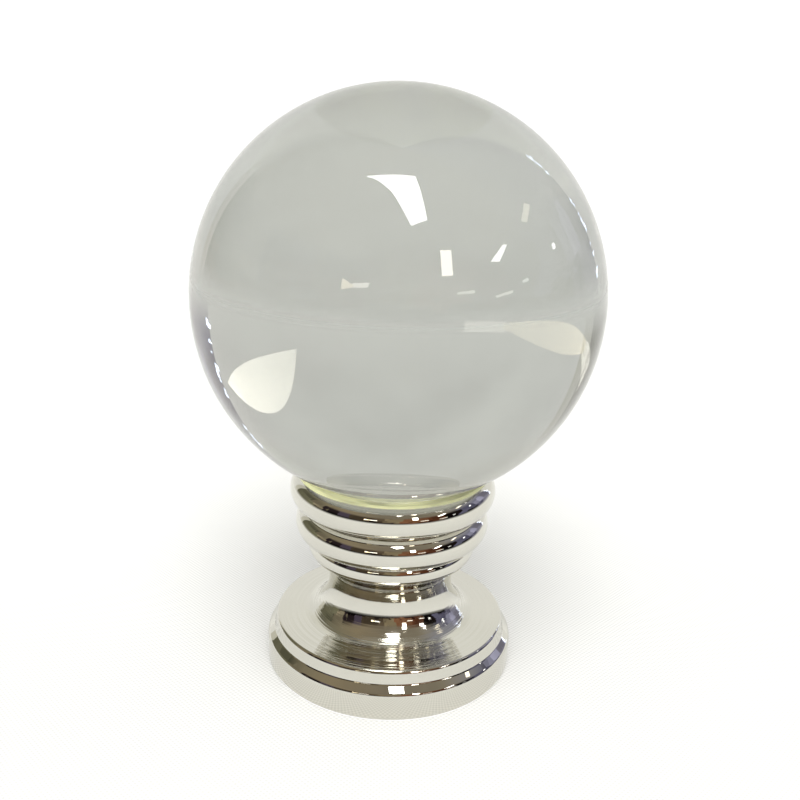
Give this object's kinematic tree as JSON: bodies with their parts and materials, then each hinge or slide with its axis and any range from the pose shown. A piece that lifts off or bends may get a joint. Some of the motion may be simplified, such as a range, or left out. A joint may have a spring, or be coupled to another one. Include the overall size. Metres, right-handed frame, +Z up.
{
  "type": "lamp shade finial",
  "caption": "Lamp shade finial: a clear crystal ball seated on a turned, plated metal base with rounded beads, a waisted neck, a flared foot and a socket in its underside.",
  "frame": {"origin": "centre of the base's flat underside, on the axis of turning", "axes": "+Z up along the axis of turning, from the foot to the ball; +X and +Y are any two directions square to it"},
  "size_m": [0.035, 0.035, 0.0516],
  "materials": {
    "clear_crystal": "clear polished",
    "plated_metal": "polished, with fine turning marks on the flare"
  },
  "bodies": {
    "root": {"crystal_ball": "clear_crystal", "turned_base": "plated_metal"}
  },
  "joints": []
}
